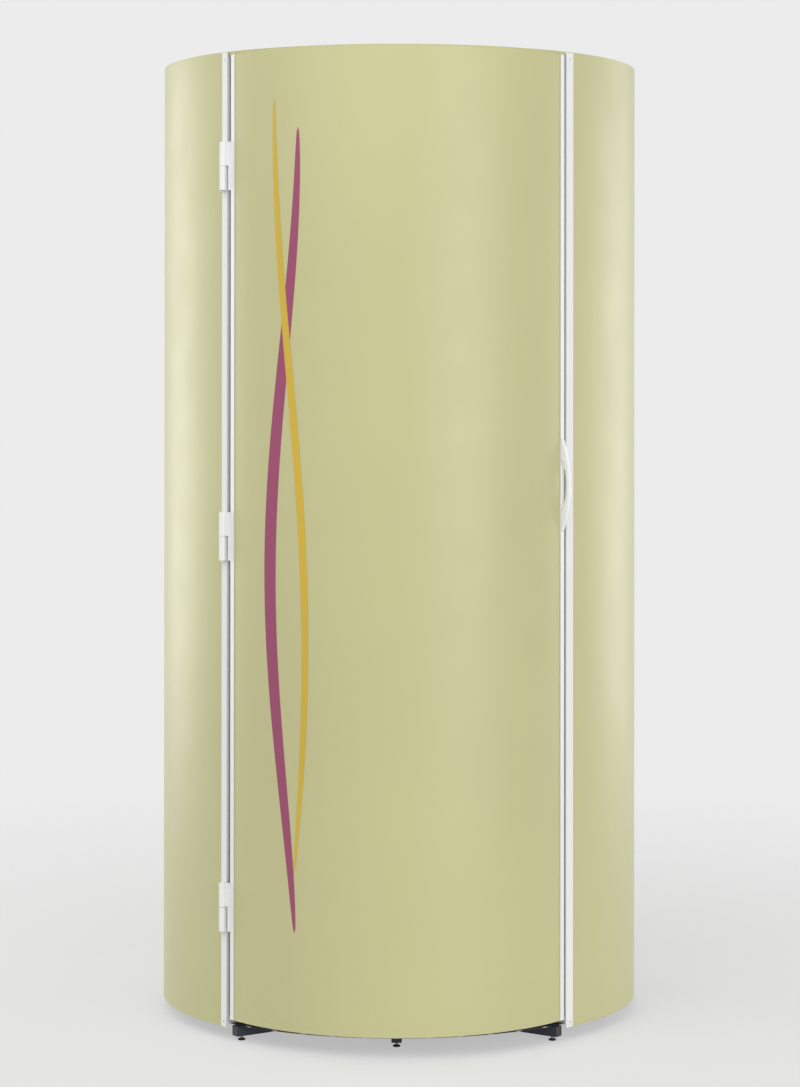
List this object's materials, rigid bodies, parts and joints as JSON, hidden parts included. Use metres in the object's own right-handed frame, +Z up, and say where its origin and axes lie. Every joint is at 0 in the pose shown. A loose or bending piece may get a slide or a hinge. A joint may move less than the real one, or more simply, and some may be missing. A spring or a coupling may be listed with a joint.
{
  "type": "vertical tanning booth",
  "caption": "Drum-shaped standing cabin on levelling feet, with a curved hinged door, lamps behind clear inner walls and an exhaust fan in the roof.",
  "frame": {"origin": "on the floor under the drum's axis", "axes": "+Z up, +X to the handle side, -Y out of the door's middle"},
  "size_m": [1.0699, 1.114, 2.152],
  "materials": {
    "casing_paint": "satin powder coat",
    "profile_white": "satin white powder coat",
    "base_paint": "dark blue-grey semi-matt paint",
    "platform_board": "grey laminated plywood",
    "bare_steel": "galvanised",
    "bright_aluminium": "bright rolled",
    "clear_acrylic": "clear and smooth",
    "lamp_glass": "phosphor-coated",
    "white_plastic": "fine moulded",
    "black_plastic": "fine moulded",
    "black_rubber": "matt",
    "stop_red": "gloss",
    "start_green": "gloss",
    "motor_iron": "painted casting"
  },
  "bodies": {
    "booth": {"ballasts": "white_plastic", "base_beam_long": "base_paint", "base_cross_beam_left": "base_paint", "base_cross_beam_right": "base_paint", "base_deck": "base_paint", "beam_end_plugs": "black_plastic", "cabin_lamp_holders": "white_plastic", "cabin_lamps": "lamp_glass", "cable_gland": "black_plastic", "casing_left": "casing_paint", "casing_right": "casing_paint", "catch_magnets": "black_plastic", "ceiling_grille": "profile_white", "ceiling_pan": "profile_white", "clear_walls": "clear_acrylic", "control_pod": "black_plastic", "duct_collar": "bare_steel", "fan_motor": "motor_iron", "fan_shroud": "bare_steel", "floor_mat": "black_rubber", "foot_inserts": "bare_steel", "frame_rings": "bare_steel", "hinge_lower_knuckles": "profile_white", "hinge_pins": "bare_steel", "jamb_handle_side": "profile_white", "jamb_hinge_side": "profile_white", "jamb_seals": "black_rubber", "lamp_rails": "bare_steel", "mullions": "profile_white", "rear_uprights": "bare_steel", "reflectors": "bright_aluminium", "roof_cap": "casing_paint", "roof_fascia": "profile_white", "service_panel": "casing_paint", "service_panel_screws": "bare_steel", "standing_platform": "platform_board", "supply_box": "bright_aluminium"},
    "door": {"door_skin": "casing_paint", "door_edge_handle_side": "profile_white", "door_edge_hinge_side": "profile_white", "door_header": "profile_white", "door_crossmembers": "bare_steel", "door_lamps": "lamp_glass", "door_lamp_holders": "white_plastic", "door_clear_wall": "clear_acrylic", "door_reflector": "bright_aluminium", "bow_handle": "profile_white", "catch_plates": "bare_steel", "hinge_upper_knuckles": "profile_white"},
    "foot_front": {"foot_front": "bare_steel"},
    "foot_front_right": {"foot_front_right": "bare_steel"},
    "foot_front_left": {"foot_front_left": "bare_steel"},
    "foot_rear": {"foot_rear": "bare_steel"},
    "foot_rear_right": {"foot_rear_right": "bare_steel"},
    "foot_rear_left": {"foot_rear_left": "bare_steel"},
    "fan_rotor": {"fan_rotor": "black_plastic"},
    "stop_button": {"stop_button": "stop_red"},
    "start_button": {"start_button": "start_green"}
  },
  "joints": [
    {"name": "door_hinge", "type": "hinge", "parent": "booth", "child": "door", "pos_m": [-0.37529, -0.39409, 1.081], "axis": [0, 0, -1], "range_deg": [0, 110]},
    {"name": "foot_front_height", "type": "slide", "parent": "booth", "child": "foot_front", "axis": [0, 0, 1], "range_m": [-0.008, 0.004]},
    {"name": "foot_front_right_height", "type": "slide", "parent": "booth", "child": "foot_front_right", "axis": [0, 0, 1], "range_m": [-0.008, 0.004]},
    {"name": "foot_front_left_height", "type": "slide", "parent": "booth", "child": "foot_front_left", "axis": [0, 0, 1], "range_m": [-0.008, 0.004]},
    {"name": "foot_rear_height", "type": "slide", "parent": "booth", "child": "foot_rear", "axis": [0, 0, 1], "range_m": [-0.008, 0.004]},
    {"name": "foot_rear_right_height", "type": "slide", "parent": "booth", "child": "foot_rear_right", "axis": [0, 0, 1], "range_m": [-0.008, 0.004]},
    {"name": "foot_rear_left_height", "type": "slide", "parent": "booth", "child": "foot_rear_left", "axis": [0, 0, 1], "range_m": [-0.008, 0.004]},
    {"name": "fan_spin", "type": "hinge", "parent": "booth", "child": "fan_rotor", "pos_m": [0, 0, 2.085], "axis": [0, 0, 1], "continuous": true},
    {"name": "stop_press", "type": "slide", "parent": "booth", "child": "stop_button", "axis": [0.7071, 0.7071, 0], "range_m": [0, 0.003], "stiffness_N_per_m": 500},
    {"name": "start_press", "type": "slide", "parent": "booth", "child": "start_button", "axis": [0.7071, 0.7071, 0], "range_m": [0, 0.003], "stiffness_N_per_m": 500}
  ]
}
